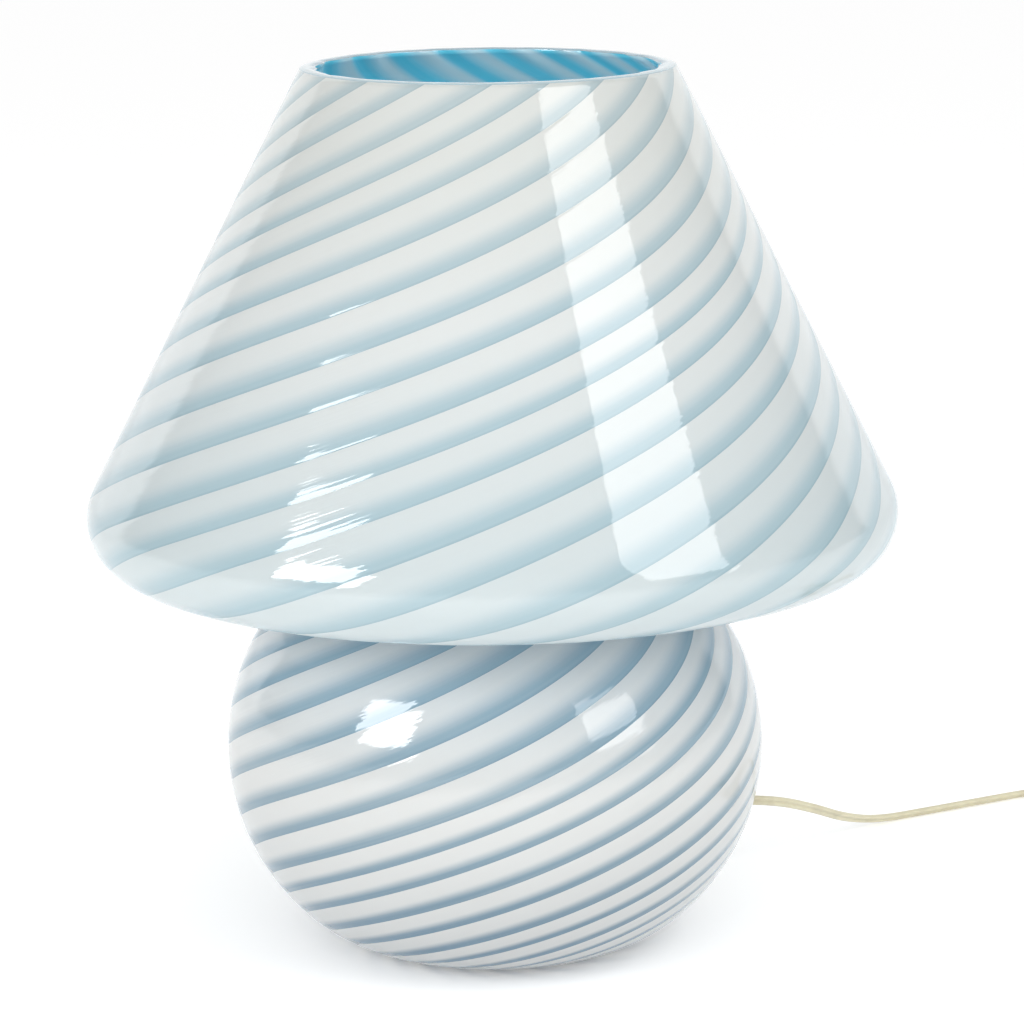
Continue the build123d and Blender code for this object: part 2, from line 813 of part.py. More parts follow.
# ---- Hand switch ----
switch_plane = Plane(
    origin=(switch_centre_x, switch_centre_y, 0), x_dir=(0, 1, 0), z_dir=(0, 0, 1)
)
rocker_axis_z = switch_height - rocker_axis_drop
rocker_axis_point = (switch_centre_x, switch_centre_y, rocker_axis_z)
rocker_window_length = rocker_length + 2 * rocker_gap
rocker_window_width = rocker_width + 2 * rocker_gap


def switch_outline(inset):
    """Add the switch seen from above: wide in the middle, narrow at both cord ends."""
    half = switch_length / 2 - inset
    half_end = switch_end_width / 2 - inset
    half_middle = switch_middle_width / 2 - inset
    with BuildLine() as edge:
        for run in (1, -1):
            for side in (1, -1):
                TangentArc((0, side * half_middle), (run * half, side * half_end), tangent=(run, 0))
            Line((run * half, half_end), (run * half, -half_end))
    make_face(edge.edges())


with BuildPart() as switch_lower_shell:
    with BuildSketch(switch_plane):
        switch_outline(0)
    extrude(amount=switch_axis_z)
    chamfer(switch_lower_shell.edges().group_by(Axis.Z)[0], switch_edge_bevel)
    with BuildSketch(switch_plane.offset(switch_wall)):
        switch_outline(switch_wall)
    extrude(amount=switch_height, mode=Mode.SUBTRACT)
    with BuildSketch(switch_plane.offset(switch_wall)):
        with GridLocations(2 * switch_screw_place, 0, 2, 1):
            Circle(switch_screw_radius + switch_wall)
    extrude(amount=switch_axis_z - switch_wall)
    with BuildSketch(switch_plane):
        with GridLocations(2 * switch_screw_place, 0, 2, 1):
            Circle(switch_screw_radius + seat_gap)
    extrude(amount=switch_axis_z, mode=Mode.SUBTRACT)
finish(switch_lower_shell.part, "switch_lower_shell")

with BuildPart() as switch_upper_shell:
    with BuildSketch(switch_plane.offset(switch_axis_z)):
        switch_outline(0)
    extrude(amount=switch_axis_z)
    chamfer(switch_upper_shell.edges().group_by(Axis.Z)[-1], switch_edge_bevel)
    with BuildSketch(switch_plane.offset(switch_axis_z)):
        switch_outline(switch_wall)
    extrude(amount=switch_axis_z - switch_wall, mode=Mode.SUBTRACT)
    with BuildSketch(switch_plane.offset(switch_axis_z)):
        with GridLocations(2 * switch_screw_place, 0, 2, 1):
            Circle(switch_screw_radius + switch_wall)
    extrude(amount=switch_axis_z - switch_wall)
    with BuildSketch(switch_plane.offset(switch_axis_z)):
        with GridLocations(2 * switch_screw_place, 0, 2, 1):
            Circle(switch_screw_radius + seat_gap)
    extrude(amount=switch_screw_bite, mode=Mode.SUBTRACT)
    with BuildSketch(switch_plane.offset(switch_axis_z)):
        Rectangle(rocker_window_length, rocker_window_width)
    extrude(amount=switch_height, mode=Mode.SUBTRACT)
    # Two lugs beside the window carry the rocker's pins.
    with BuildSketch(switch_plane.offset(rocker_axis_z - rocker_lug_width / 2)):
        with GridLocations(0, rocker_window_width + rocker_lug_thickness, 1, 2):
            Rectangle(rocker_lug_width, rocker_lug_thickness)
    extrude(amount=switch_height - switch_wall - rocker_axis_z + rocker_lug_width / 2)
    with BuildSketch(Plane(origin=rocker_axis_point, x_dir=(0, 1, 0), z_dir=(1, 0, 0))):
        Circle(rocker_pin_radius + rocker_pin_clearance)
    extrude(amount=rocker_width / 2 + rocker_lug_thickness, both=True, mode=Mode.SUBTRACT)
finish(switch_upper_shell.part, "switch_upper_shell")

# The rocker rests in its off place, tipped by half its swing.
rest_tip = radians(-rocker_swing / 2)
rocker_plane = Plane(
    origin=rocker_axis_point, x_dir=(0, cos(rest_tip), sin(rest_tip)), z_dir=(1, 0, 0)
)
with BuildPart() as switch_rocker:
    with BuildSketch(rocker_plane):
        Circle(rocker_length / 2)
        with BuildLine():
            Polyline(
                (-rocker_length / 2, rocker_end_rise),
                (0, rocker_middle_rise),
                (rocker_length / 2, rocker_end_rise),
                (rocker_length / 2, -rocker_pin_radius),
                (0, -rocker_depth),
                (-rocker_length / 2, -rocker_pin_radius),
                close=True,
            )
        make_face(mode=Mode.INTERSECT)
    extrude(amount=rocker_width / 2, both=True)
    with BuildSketch(rocker_plane):
        Circle(rocker_pin_radius)
    extrude(amount=rocker_width / 2 + rocker_pin_length, both=True)
finish(switch_rocker.part, "switch_rocker")

with BuildPart() as switch_screws:
    with BuildSketch(switch_plane):
        with GridLocations(2 * switch_screw_place, 0, 2, 1):
            Circle(switch_screw_radius)
    extrude(amount=switch_axis_z + switch_screw_bite)
finish(switch_screws.part, "switch_screws")

with BuildPart() as switch_contacts:
    with BuildSketch(switch_plane.offset(switch_wall)):
        with GridLocations(0, 2 * switch_contact_width, 1, 2):
            Rectangle(switch_contact_length, switch_contact_width)
    extrude(amount=switch_contact_thickness)
finish(switch_contacts.part, "switch_contacts")

# ---- Plug ----
plug_body_y = plug_entry.Y - plug_relief_length
plug_face_y = plug_body_y - plug_depth
pin_plane = Plane(
    origin=(plug_entry.X, plug_face_y, plug_axis_height), x_dir=(1, 0, 0), z_dir=(0, -1, 0)
)
with BuildPart() as plug_body:
    # From above, each side flares from the cord to the full width along two equal arcs.
    with BuildSketch(Plane.XY):
        with BuildLine():
            for side in (1, -1):
                rear = Vector(plug_entry.X + side * plug_rear_width / 2, plug_body_y)
                wide = Vector(plug_entry.X + side * plug_width / 2, plug_body_y - plug_flare_length)
                front = Vector(wide.X, plug_face_y)
                hollow = TangentArc(rear, (rear + wide) / 2, tangent=(0, -1))
                TangentArc((rear + wide) / 2, wide, tangent=hollow % 1)
                Line(wide, front)
                Line(front, (plug_entry.X, plug_face_y))
                Line(rear, (plug_entry.X, plug_body_y))
        make_face()
    extrude(amount=2 * plug_axis_height)
    # From the front it is six-sided, with a flat above and below.
    with BuildSketch(pin_plane):
        Polygon(
            (plug_width / 2, 0),
            (plug_flat_width / 2, plug_axis_height),
            (-plug_flat_width / 2, plug_axis_height),
            (-plug_width / 2, 0),
            (-plug_flat_width / 2, -plug_axis_height),
            (plug_flat_width / 2, -plug_axis_height),
            align=None,
        )
    extrude(amount=-plug_depth, mode=Mode.INTERSECT)
    chamfer(plug_body.edges().group_by(Axis.Y)[0], plug_face_bevel)
    grip_y = plug_face_y + grip_start + (grip_count - 1) * grip_pitch / 2
    for height, inward in ((0, 1), (2 * plug_axis_height, -1)):
        with BuildSketch(Plane.XY.offset(height)):
            with Locations((plug_entry.X, grip_y)):
                with GridLocations(0, grip_pitch, 1, grip_count):
                    Rectangle(grip_length, grip_width)
        extrude(amount=inward * grip_depth, mode=Mode.SUBTRACT)
    with BuildSketch(Plane(origin=plug_entry, x_dir=(1, 0, 0), z_dir=(0, -1, 0))):
        Circle(plug_relief_rear_radius)
    with BuildSketch(
        Plane(
            origin=plug_entry - Vector(0, plug_relief_length, 0),
            x_dir=(1, 0, 0),
            z_dir=(0, -1, 0),
        )
    ):
        Circle(plug_relief_front_radius)
    loft()
    with BuildSketch(pin_plane):
        with GridLocations(pin_spacing, 0, 2, 1):
            Circle(pin_root_radius + seat_gap)
    extrude(amount=-pin_root, mode=Mode.SUBTRACT)
finish(plug_body.part, "plug_body")

with BuildPart() as plug_pins:
    with BuildSketch(pin_plane):
        with GridLocations(pin_spacing, 0, 2, 1):
            Circle(pin_radius)
    extrude(amount=pin_length)
    chamfer(plug_pins.edges().group_by(Axis.Y)[0], pin_tip_chamfer)
    with BuildSketch(pin_plane):
        with GridLocations(pin_spacing, 0, 2, 1):
            Circle(pin_root_radius)
    extrude(amount=-pin_root)
finish(plug_pins.part, "plug_pins")
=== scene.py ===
import json
from math import asin, atan, atan2, ceil, cos, degrees, floor, hypot, pi, radians, sin, sqrt

import bpy
from mathutils import Matrix, Vector


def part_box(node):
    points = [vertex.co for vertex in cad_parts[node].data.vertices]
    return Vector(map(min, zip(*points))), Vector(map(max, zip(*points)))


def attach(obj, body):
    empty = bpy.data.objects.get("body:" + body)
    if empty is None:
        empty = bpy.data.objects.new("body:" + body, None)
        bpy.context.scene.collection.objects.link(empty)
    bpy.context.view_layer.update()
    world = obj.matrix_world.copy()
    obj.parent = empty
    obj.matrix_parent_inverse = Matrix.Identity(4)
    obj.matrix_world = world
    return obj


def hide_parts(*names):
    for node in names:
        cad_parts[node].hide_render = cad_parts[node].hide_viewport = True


# Metres. The origin is the middle of the foot, +Z is up and the front faces -Y.

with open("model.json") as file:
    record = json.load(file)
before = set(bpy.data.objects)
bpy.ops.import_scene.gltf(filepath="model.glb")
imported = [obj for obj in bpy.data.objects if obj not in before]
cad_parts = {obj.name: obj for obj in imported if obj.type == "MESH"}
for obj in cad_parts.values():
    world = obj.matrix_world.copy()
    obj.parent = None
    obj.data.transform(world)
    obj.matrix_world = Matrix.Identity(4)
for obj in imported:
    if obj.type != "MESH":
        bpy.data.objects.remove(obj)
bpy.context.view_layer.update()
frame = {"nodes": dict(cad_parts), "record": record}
nodes = frame["nodes"]


# The camera, fitted to the outline of the base and the shade.
cameraView = {
    "distance": 1.8344,  # in front of the middle of the foot
    "height": 0.6163,
    "pitch": 12.305,  # degrees down
    "roll": -0.612,
    "sensor": 36.0,  # millimetres, as is the lens
    "lens": 133.33,
    "shift": 0.0189,
}


def makeCamera():
    data = bpy.data.cameras.new("camera")
    data.sensor_width = cameraView["sensor"]
    data.lens = cameraView["lens"]
    data.shift_x = cameraView["shift"]
    camera = bpy.data.objects.new("camera", data)
    bpy.context.collection.objects.link(camera)
    tilt = Matrix.Rotation(radians(90 - cameraView["pitch"]), 4, "X")
    roll = Matrix.Rotation(radians(cameraView["roll"]), 4, "Z")
    place = Matrix.Translation((0, -cameraView["distance"], cameraView["height"]))
    camera.matrix_world = place @ tilt @ roll
    bpy.context.scene.camera = camera
    print("camera", cameraView["lens"], "mm")


# A smooth shaded object that rides on a body.
def newObject(name, vertices, faces, body):
    mesh = bpy.data.meshes.new(name)
    mesh.from_pydata(vertices, [], faces)
    mesh.polygons.foreach_set("use_smooth", [True] * len(mesh.polygons))
    mesh.update()
    piece = bpy.data.objects.new(name, mesh)
    bpy.context.collection.objects.link(piece)
    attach(piece, body)
    return piece


# The value on the straight lines between (place, value) knots.
def between(value, knots):
    for (a, low), (b, high) in zip(knots, knots[1:]):
        if value <= b:
            return low + (high - low) * (value - a) / (b - a)
    return knots[-1][1]


# Short ways to make a material and its nodes. An input is a number, a colour or a socket.
def newMaterial(name):
    material = bpy.data.materials.new(name)
    material.use_nodes = True
    return material, material.node_tree, material.node_tree.nodes["Principled BSDF"]


def addNode(tree, kind, inputs=None, **settings):
    node = tree.nodes.new(kind)
    for key, value in settings.items():
        setattr(node, key, value)
    for key, value in (inputs or {}).items():
        if isinstance(value, bpy.types.NodeSocket):
            tree.links.new(value, node.inputs[key])
        else:
            node.inputs[key].default_value = value
    return node


def calculate(tree, operation, *values):
    inputs = dict(enumerate(values))
    return addNode(tree, "ShaderNodeMath", inputs, operation=operation).outputs[0]


def noise(tree, coords, scale, detail):
    inputs = {"Vector": coords, "Scale": scale, "Detail": detail}
    return addNode(tree, "ShaderNodeTexNoise", inputs).outputs["Fac"]


def bump(tree, height, strength, distance, under=None):
    inputs = {"Height": height, "Strength": strength, "Distance": distance}
    if under:
        inputs["Normal"] = under
    return addNode(tree, "ShaderNodeBump", inputs).outputs["Normal"]


def mapRange(tree, inputs, **settings):
    return addNode(tree, "ShaderNodeMapRange", inputs, **settings).outputs["Result"]


def mixColours(tree, amount, first, second):
    inputs = {0: amount, 6: first, 7: second}  # a mix node's factor and its two colours
    return addNode(tree, "ShaderNodeMix", inputs, data_type="RGBA").outputs[2]


def mixNumbers(tree, amount, first, second):
    inputs = {0: amount, 2: first, 3: second}  # a mix node's factor and its two numbers
    return addNode(tree, "ShaderNodeMix", inputs).outputs[0]


def ramp(tree, value, stops):
    node = addNode(tree, "ShaderNodeValToRGB", {"Fac": value})
    elements = node.color_ramp.elements
    while len(elements) < len(stops):
        elements.new(1)
    for element, (position, colour) in zip(elements, stops):
        element.position = position
        element.color = colour
    return node.outputs["Color"]


# A colour as it is read from a screen, from 0 to 255, as the shader's linear one.
def srgb(red, green, blue):
    shares = [value / 255 for value in (red, green, blue)]
    return (*(v / 12.92 if v <= 0.04045 else ((v + 0.055) / 1.055) ** 2.4 for v in shares), 1)


def toneRamp(tree, value, tones):
    return ramp(tree, value, [(place, srgb(*tone)) for place, tone in tones])


def numberRamp(tree, value, numbers):
    return ramp(tree, value, [(place, (number, number, number, 1)) for place, number in numbers])


# The cords. The free cord's route is that of the CAD cord. It leaves the base on its edge and
# rolls over by and by until it lies flat on the floor.
cord = {
    "width": 0.0052,
    "thickness": 0.0027,
    "groove": 0.0005,  # from the middle to the bottom of the groove between the cores
    "coreArc": 120,  # degrees of a core's round to each side, and the step along it
    "coreStep": 30,
    "samples": 10,  # points of the smooth line for each control point
    "exit": (0.1006, 0.0699, 0.0455),  # where the cord leaves the base
    "holeAzimuth": 34.8,  # degrees round from +X
    "holeDip": 10,  # degrees down
    "exitRun": 0.020,  # straight out of the hole
    "rolls": [(0, 90), (0.06, 90), (0.15, 52), (0.29, 45), (0.36, 0), (2, 0)],  # along, degrees
    "tiltedHeight": 0.0024,  # of its middle, where it lies on the floor and is still tilted
    "switchCentre": (0.376, 0.150, 0.0075),
    "switchReach": 0.031,
    "plugEntry": (0.38005, 0.0376, 0.00685),
    "innerRoll": 90,
    "innerGap": 0.0001,  # below the terminal block
    "innerDrop": 0.006,  # below the threaded tube
    "innerBends": [(0.004, 0.165), (0.017, 0.115), (0.045, 0.074)],  # out from the axis, height
    "innerRun": 0.031,  # straight into the hole
    "steep": 0.2,  # where the cord is nearer to upright than this, it keeps the side it had
}
coil = {
    "startX": 0.372,
    "startY": 0.0708,
    "innerRadius": 0.0208,
    "pitch": 0.00605,  # from one turn to the next
    "halvesIn": 6,  # half turns in on the floor, and then out on top of them
    "halvesOut": 8,
    "points": 6,  # for each half turn
    "layerRise": 0.00285,
}
cordFloor = cord["thickness"] / 2
holeAzimuth = radians(cord["holeAzimuth"])
holeDip = radians(cord["holeDip"])
holeAxis = Vector(
    (cos(holeAzimuth) * cos(holeDip), sin(holeAzimuth) * cos(holeDip), -sin(holeDip))
)
cordExit = Vector(cord["exit"])
switchCentre = Vector(cord["switchCentre"])
switchReach = Vector((0, cord["switchReach"], 0))
plugEntry = Vector(cord["plugEntry"])


# The coil's control points: half turns clockwise in on the floor, and out again on top.
def coilRoute():
    grow, rise = coil["pitch"] / 2, coil["layerRise"]
    halves = [(grow * count, 0) for count in range(coil["halvesIn"], 0, -1)]
    halves += [(grow * count, rise) for count in range(coil["halvesOut"])]
    route = []
    x, side, low = coil["startX"], 1, 0
    for extra, high in halves:
        radius = coil["innerRadius"] + extra
        x -= side * radius
        corner = radius / cos(pi / coil["points"] / 2)
        for step in range(coil["points"]):
            angle = (step + 0.5) * pi / coil["points"]
            climb = low + (high - low) * (step + 0.5) / coil["points"]
            y = coil["startY"] - side * corner * sin(angle)
            route.append(Vector((x + side * corner * cos(angle), y, cordFloor + climb)))
        x -= side * radius
        side, low = -side, high
    return route, Vector((x, coil["startY"], cordFloor + low))


def freeRoute():
    turns, coilEnd = coilRoute()
    route = [
        cordExit,
        cordExit + holeAxis * cord["exitRun"],
        Vector((0.148, 0.1025, 0.0355)),
        Vector((0.171, 0.125, 0.024)),
        Vector((0.190, 0.151, 0.0105)),
        Vector((0.211, 0.1735, cord["tiltedHeight"])),
        Vector((0.240, 0.1895, cord["tiltedHeight"])),
        Vector((0.272, 0.2072, cord["tiltedHeight"])),
        Vector((0.300, 0.2225, cord["tiltedHeight"])),
        Vector((0.328, 0.236, 0.0018)),
        Vector((0.355, 0.230, cordFloor)),
        Vector((0.373, 0.211, 0.0045)),
        Vector((switchCentre.x, 0.194, switchCentre.z)),
        switchCentre + switchReach,
        switchCentre - switchReach,
        Vector((switchCentre.x, 0.110, switchCentre.z)),
        Vector((coil["startX"], 0.090, cordFloor)),
        Vector((coil["startX"], 0.076, cordFloor)),
    ]
    route += turns
    route += [
        coilEnd - Vector((0, 0.0052, 0)),
        coilEnd - Vector((0, 0.0132, -0.0005)),
        plugEntry + Vector((0, 0.008, 0)),
        plugEntry,
    ]
    return route


# Inside the base: down from the terminal block through the tube, and over to the hole.
def innerRoute():
    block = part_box("terminal_block")[0].z
    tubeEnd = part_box("threaded_tube")[0].z
    route = [Vector((0, 0, block - cord["innerGap"])), Vector((0, 0, tubeEnd - cord["innerDrop"]))]
    route += [
        Vector((reach * cos(holeAzimuth), reach * sin(holeAzimuth), height))
        for reach, height in cord["innerBends"]
    ]
    return route + [cordExit - holeAxis * cord["innerRun"], cordExit]


# The points of the smooth line that has the route as its control points.
def splinePoints(name, route):
    data = bpy.data.curves.new(name, "CURVE")
    data.dimensions = "3D"
    data.resolution_u = cord["samples"]
    spline = data.splines.new("NURBS")
    spline.points.add(len(route) - 1)
    for point, place in zip(spline.points, route):
        point.co = (*place, 1)
    spline.order_u = 3
    spline.use_endpoint_u = True
    line = bpy.data.objects.new(name, data)
    mesh = bpy.data.meshes.new_from_object(line)
    points = [vertex.co.copy() for vertex in mesh.vertices]
    bpy.data.objects.remove(line)
    bpy.data.curves.remove(data)
    bpy.data.meshes.remove(mesh)
    return points


# The flat twin cord's outline: two round cores with a groove between them, above and below.
def twinSection():
    radius = cord["thickness"] / 2
    offset = cord["width"] / 2 - radius
    angles = range(-cord["coreArc"], cord["coreArc"] + 1, cord["coreStep"])
    right = [(offset + radius * cos(radians(a)), radius * sin(radians(a))) for a in angles]
    left = [(-x, -y) for x, y in right]
    return right + [(0, cord["groove"])] + left + [(0, -cord["groove"])]


# A twin cord's mesh along the points, rolled by what the rolls say at each length along it.
def twinTube(name, points, rolls):
    section = twinSection()
    count = len(section)
    vertices = []
    along = 0
    side = Vector((1, 0, 0))
    for index, point in enumerate(points):
        before = points[max(index - 1, 0)]
        after = points[min(index + 1, len(points) - 1)]
        way = (after - before).normalized()
        along += (point - before).length
        level = way.cross(Vector((0, 0, 1)))
        if level.length > cord["steep"]:
            side = level.normalized()
        side = (side - way * side.dot(way)).normalized()
        up = side.cross(way)
        roll = radians(between(along, rolls))
        wide = side * cos(roll) + up * sin(roll)
        thin = up * cos(roll) - side * sin(roll)
        ring = [point + wide * x + thin * y for x, y in section]
        lift = Vector((0, 0, max(-min(corner.z for corner in ring), 0)))  # onto the floor
        vertices += [corner + lift for corner in ring]
    faces = []
    for ring in range(len(points) - 1):
        for step in range(count):
            a, b = ring * count + step, ring * count + (step + 1) % count
            faces.append((a, b, b + count, a + count))
    faces.append(tuple(range(count))[::-1])
    last = (len(points) - 1) * count
    faces.append(tuple(range(last, last + count)))
    return newObject(name, vertices, faces, "lamp")


# The cords' sheath, a slightly mottled cream plastic.
sheath = {
    "tones": [(0.3, (188, 180, 154)), (0.55, (206, 200, 173)), (0.75, (198, 191, 163))],
    "mottleScale": 60.0,
    "grainScale": 2500.0,
    "grainStrength": 0.15,
    "grainHeight": 0.0002,
    "roughness": 0.3,
    "subsurface": 0.1,
    "subsurfaceReach": (0.002, 0.0015, 0.001),
}


def sheathMaterial():
    material, tree, shader = newMaterial("cord_sheath")
    coords = addNode(tree, "ShaderNodeTexCoord").outputs["Object"]
    mottle = noise(tree, coords, sheath["mottleScale"], detail=4.0)
    grain = noise(tree, coords, sheath["grainScale"], detail=2.0)
    normal = bump(tree, grain, sheath["grainStrength"], sheath["grainHeight"])
    tree.links.new(toneRamp(tree, mottle, sheath["tones"]), shader.inputs["Base Color"])
    tree.links.new(normal, shader.inputs["Normal"])
    shader.inputs["Roughness"].default_value = sheath["roughness"]
    shader.inputs["Subsurface Weight"].default_value = sheath["subsurface"]
    shader.inputs["Subsurface Radius"].default_value = sheath["subsurfaceReach"]
    return material


def makeCords():
    points = splinePoints("free_route", freeRoute())
    innerPoints = splinePoints("inner_route", innerRoute())
    free = twinTube("free_cord", points, cord["rolls"])
    inner = twinTube("base_cord", innerPoints, [(0, cord["innerRoll"]), (1, cord["innerRoll"])])
    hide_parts("cord_stretch", "cord_lead", "cord_coil", "cord_tail")
    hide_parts("inner_cord")
    material = sheathMaterial()
    for piece in (free, inner):
        piece.data.materials.append(material)


# The glass, in millimetres and degrees. Its outline is that of the CAD glass, laid as true
# rounds. A pair is the radius of a round and how far it turns.
glass = {
    "wall": 3.2,
    "kickRadius": 50.0,
    "kickHeight": 4.0,
    "footLand": 8.5,
    "heel": (20.0, 11.0),
    "lowBelly": (74.1, 32.5),
    "belly": (110.9, 71.1),
    "shoulder": (100.0, 45.4),
    "neckRadius": 41.2,
    "neckFootRound": 16.0,
    "neckLength": 4.1,
    "neckTopRound": 12.0,
    "shadeRadius": 200.0,
    "rimRound": 25.5,
    "rimBottom": 193.3,
    "lipRadius": 91.0,
    "lipHeight": 436.8,
    "rowSpacing": 2.4,  # the mesh's rows are at most this long and turn by this much
    "rowTurn": 6,
    "leastRadius": 0.02,  # of the mesh's first and last ring, in the middle of the foot
    "columnShares": [0.0, 0.025, 0.06, 0.11, 0.2, 0.35, 0.5, 0.65, 0.8, 0.89, 0.94, 0.975],
    "ribDepth": 0.13,  # each stripe is a gentle rib
    "seamDepth": 0.11,  # with a sharp seam at its edges
    "seamPower": 10,
    "ribsFromFoot": 60,  # the ribs' depth grows over these lengths from the foot and the lip
    "ribsFromLip": 12,
    "lipWidth": 8.0,
    "lipWaves": [(20, 0.6875), (33, 0.4125)],  # how many round the lip, and how deep
    "lipCrown": 0.7,
    "lipRows": 8,
    "lipReach": 18.0,  # how far down inside the wall thickens to the lip
    "holeRadius": 5.0,
    "holeSides": 36,
    "holeMiddle": 4.0,  # in from the cord's exit, and how far the cut goes to each side
    "holeReach": 12.0,
}


# A walk's step: a line of that size or, with a turn, an arc of that radius.
def walkStep(name, size, turn=0):
    return {"name": name, "size": size, "turn": turn}


# Where a walk from the middle of the foot stops, and its heading at each stop. A shift walks
# that far to the left, which gives the inside of the wall.
def stops(steps, shift=0.0):
    x, y, turned = 0.0, glass["kickHeight"] + shift, 0.0
    found = [(x, y, turned)]
    for step in steps:
        size, turn = step["size"], step["turn"]
        if turn == 0:
            x, y = x + size * cos(turned), y + size * sin(turned)
        else:
            side = 1 if turn > 0 else -1
            radius = size - side * shift
            centre = (x - side * radius * sin(turned), y + side * radius * cos(turned))
            turned += radians(turn)
            x = centre[0] + side * radius * sin(turned)
            y = centre[1] - side * radius * cos(turned)
        found.append((x, y, turned))
    return found


# The outside's walk from the middle of the foot to the lip, worked out as in the CAD.
def glassSteps():
    kickTurn = 2 * degrees(atan(glass["kickHeight"] / glass["kickRadius"]))
    kickRound = glass["kickRadius"] / sin(radians(kickTurn)) / 2
    steps = [
        walkStep("kickFall", kickRound, -kickTurn),
        walkStep("kickRise", kickRound, kickTurn),
        walkStep("footLand", glass["footLand"]),
    ]
    steps += [walkStep(name, *glass[name]) for name in ("heel", "lowBelly", "belly", "shoulder")]
    shoulderR, shoulderZ, heading = stops(steps)[-1]
    footTurn = heading - pi / 2
    footRound = glass["neckFootRound"]
    fall = shoulderR - footRound * (1 - cos(footTurn)) - glass["neckRadius"]
    shoulderLine = fall / sin(footTurn)
    waist = shoulderZ + shoulderLine * cos(footTurn) + footRound * sin(footTurn)

    rim, topRound = glass["rimRound"], glass["neckTopRound"]
    rimR, rimZ = glass["shadeRadius"] - rim, glass["rimBottom"] + rim
    across = rimR - glass["neckRadius"] - topRound
    climb = rimZ - waist - glass["neckLength"]
    reach = hypot(across, climb)
    slope = degrees(asin((topRound + rim) / reach) - atan2(climb, across))
    inward, upward = rimR - glass["lipRadius"], glass["lipHeight"] - rimZ
    lipReach = hypot(inward, upward)
    lean = degrees(atan2(inward, upward) + asin(rim / lipReach))
    return steps + [
        walkStep("shoulderLine", shoulderLine),
        walkStep("neckFoot", footRound, -degrees(footTurn)),
        walkStep("neck", glass["neckLength"]),
        walkStep("neckTop", topRound, -90 - slope),
        walkStep("underside", sqrt(reach**2 - (topRound + rim) ** 2)),
        walkStep("rim", rim, slope + 90 + lean),
        walkStep("cone", sqrt(lipReach**2 - rim**2)),
    ]


# Every step shared into short equal ones, each with its name and length.
def fineSteps(steps):
    fine = []
    for step in steps:
        size, turn = step["size"], step["turn"]
        length = size if turn == 0 else size * radians(abs(turn))
        count = max(ceil(length / glass["rowSpacing"]), ceil(abs(turn) / glass["rowTurn"]), 2)
        share = walkStep(step["name"], size / count if turn == 0 else size, turn / count)
        share["length"] = length / count
        fine += [share] * count
    return fine


# The mesh's rows from the foot to the lip, outside and inside the wall.
def glassRows():
    fine = fineSteps(glassSteps())
    rows = []
    along = 0
    for index, (outer, inner) in enumerate(zip(stops(fine), stops(fine, glass["wall"]))):
        step = fine[min(index, len(fine) - 1)]
        row = {"step": step["name"], "along": along}
        row["r"], row["z"], row["heading"] = outer
        row["innerR"], row["innerZ"] = inner[:2]
        rows.append(row)
        along += step["length"]
    return rows


# The stripes: where each one's sharp edge is at half the shade's height, in degrees from the
# front, and how fast they wind, in degrees for each millimetre along the outline.
stripes = {
    "edges": [
        -168, -149, -130, -110, -93, -75, -55, -35, -14, 5,
        24, 39, 55, 73, 90, 109, 125, 143, 158, 175,
    ],
    "halfHeight": 330.0,
    "rates": [  # a step's name, millimetres past its start, and the rate there
        ("kickFall", 0, 1.15),
        ("belly", 90, 1.05),
        ("shoulder", 0, 0.88),
        ("neck", 0, 0.80),
        ("rim", 0, 0.80),
        ("cone", 4, 0.69),
    ],
    "halfHeightRate": 0.89,
    "lipRate": 0.97,
}
stripeCount = len(stripes["edges"])


# Where a phase of the stripes is at half height. A whole phase is a stripe's edge.
def stripeEdge(phase):
    edges = stripes["edges"]
    whole = floor(phase)
    turn, index = divmod(whole, stripeCount)
    following = edges[index + 1] if index + 1 < stripeCount else edges[0] + 360
    return 360 * turn + edges[index] + (following - edges[index]) * (phase - whole)


# How far the stripes have wound at each row, in degrees, none at half height.
def windings(rows):
    starts = {}
    for row in rows:
        starts.setdefault(row["step"], row["along"])
    cone = [row for row in rows if row["step"] == "cone"]
    half = min(cone, key=lambda row: abs(row["z"] - stripes["halfHeight"]))
    knots = [(starts[name] + past, rate) for name, past, rate in stripes["rates"]]
    knots += [(half["along"], stripes["halfHeightRate"]), (rows[-1]["along"], stripes["lipRate"])]
    wound = [0]
    for a, b in zip(rows, rows[1:]):
        rate = between((a["along"] + b["along"]) / 2, knots)
        wound.append(wound[-1] + rate * (b["along"] - a["along"]))
    zero = wound[rows.index(half)]
    return [turn - zero for turn in wound]


# How far the rib lies below the outline at a phase.
def ribDepth(phase):
    across = abs(2 * (phase - floor(phase)) - 1)
    return glass["ribDepth"] * across**2 + glass["seamDepth"] * across ** glass["seamPower"]


def lipWidth(phase):
    turn = 2 * pi * phase / stripeCount
    return glass["lipWidth"] + sum(depth * sin(count * turn) for count, depth in glass["lipWaves"])


# A ring of points round the glass, in metres, each as deep below the outline as depths say.
def glassRing(columns, radius, height, heading, turn, depths):
    points = []
    for phase, depth in zip(columns, depths):
        r = max(radius - depth * sin(heading), glass["leastRadius"])
        z = height + depth * cos(heading)
        angle = radians(stripeEdge(phase) + turn)
        points.append((r * sin(angle) / 1000, -r * cos(angle) / 1000, z / 1000))
    return points


